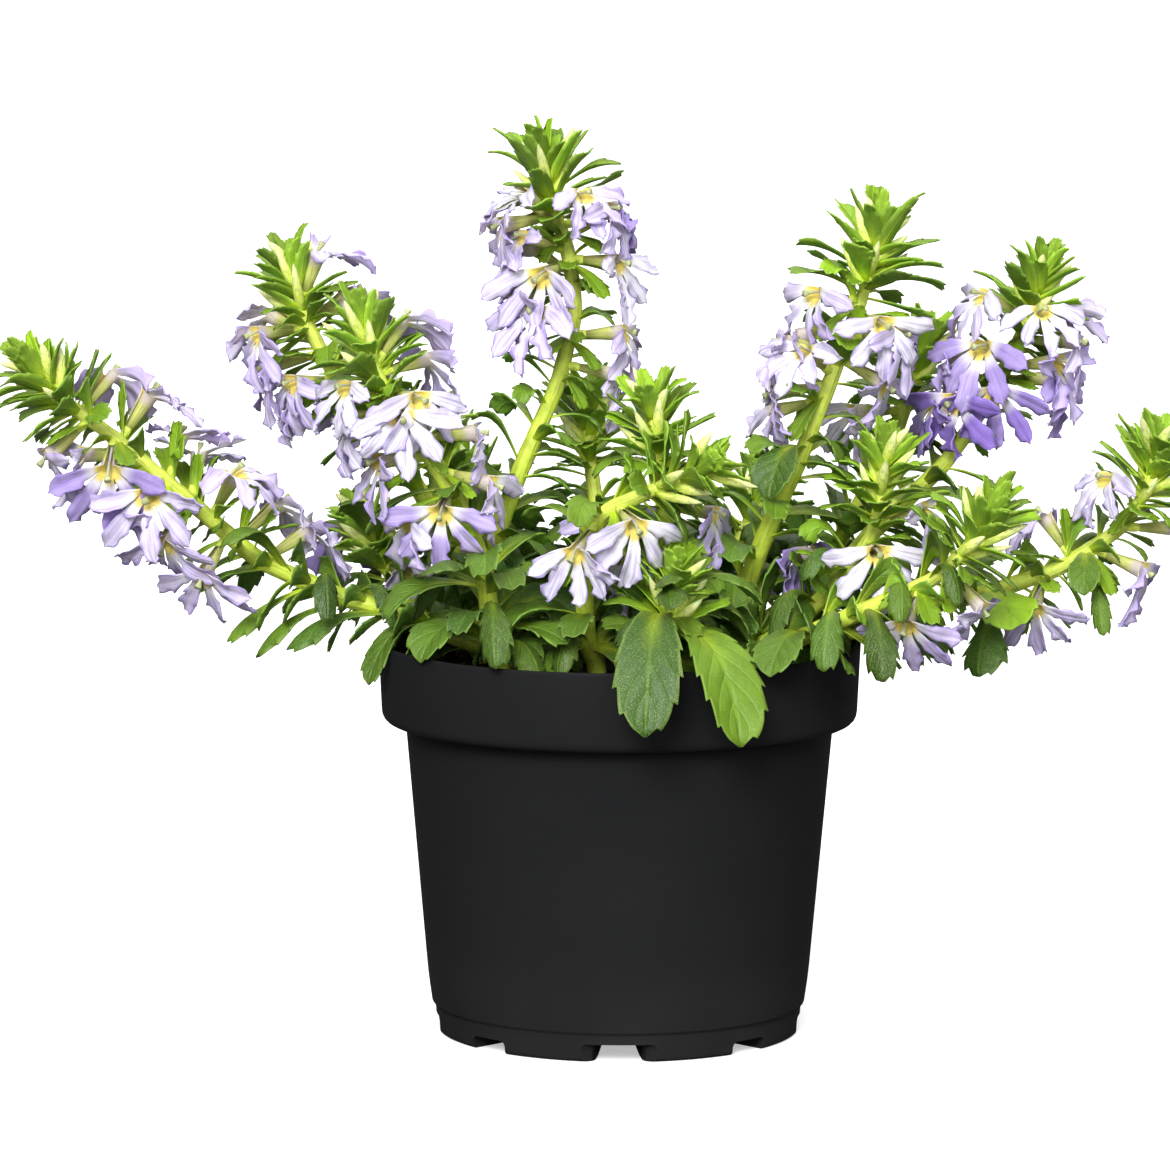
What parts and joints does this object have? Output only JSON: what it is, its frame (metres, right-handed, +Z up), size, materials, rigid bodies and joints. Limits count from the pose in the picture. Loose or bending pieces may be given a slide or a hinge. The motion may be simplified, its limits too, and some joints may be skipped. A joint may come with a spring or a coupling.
{
  "type": "potted fan flower",
  "caption": "Leafy fan flower plant with lavender fan-shaped blooms on arching shoots, growing in a round black plastic nursery pot.",
  "frame": {"origin": "on the bench under the middle of the pot, in the plane of its foot", "axes": "+Z is up, +Y is the back, -Y the side that faces the camera, and +X the right as seen from the front"},
  "size_m": [0.3169, 0.1554, 0.2459],
  "materials": {
    "pot_plastic": "satin",
    "peat": "matte",
    "leafy_shoot": "matte",
    "petal": "matte"
  },
  "bodies": {
    "root": {"bloom_back_left_1": "petal", "bloom_back_right_1": "petal", "bloom_centre_back_1": "petal", "bloom_centre_front_1": "petal", "bloom_centre_tall_1": "petal", "bloom_centre_tall_2": "petal", "bloom_centre_tall_3": "petal", "bloom_centre_tall_4": "petal", "bloom_centre_upright_1": "petal", "bloom_left_front_1": "petal", "bloom_left_front_2": "petal", "bloom_left_front_3": "petal", "bloom_left_front_4": "petal", "bloom_left_front_5": "petal", "bloom_left_high_1": "petal", "bloom_left_high_2": "petal", "bloom_left_high_3": "petal", "bloom_left_high_4": "petal", "bloom_left_long_1": "petal", "bloom_left_long_2": "petal", "bloom_left_long_3": "petal", "bloom_left_long_4": "petal", "bloom_left_long_5": "petal", "bloom_left_twig_1": "petal", "bloom_right_front_1": "petal", "bloom_right_front_2": "petal", "bloom_right_high_1": "petal", "bloom_right_high_2": "petal", "bloom_right_high_3": "petal", "bloom_right_high_4": "petal", "bloom_right_long_1": "petal", "bloom_right_long_2": "petal", "bloom_right_long_3": "petal", "bloom_right_short_1": "petal", "bloom_right_short_2": "petal", "bloom_right_tall_1": "petal", "bloom_right_tall_2": "petal", "bloom_right_tall_3": "petal", "bloom_right_tall_4": "petal", "nursery_pot": "pot_plastic", "potting_soil": "peat", "shoot_back_left": "leafy_shoot", "shoot_back_right": "leafy_shoot", "shoot_centre_back": "leafy_shoot", "shoot_centre_front": "leafy_shoot", "shoot_centre_tall": "leafy_shoot", "shoot_centre_upright": "leafy_shoot", "shoot_front_low": "leafy_shoot", "shoot_left_front": "leafy_shoot", "shoot_left_high": "leafy_shoot", "shoot_left_long": "leafy_shoot", "shoot_left_twig": "leafy_shoot", "shoot_right_front": "leafy_shoot", "shoot_right_high": "leafy_shoot", "shoot_right_long": "leafy_shoot", "shoot_right_short": "leafy_shoot", "shoot_right_tall": "leafy_shoot", "shoot_right_twig": "leafy_shoot"}
  },
  "joints": []
}
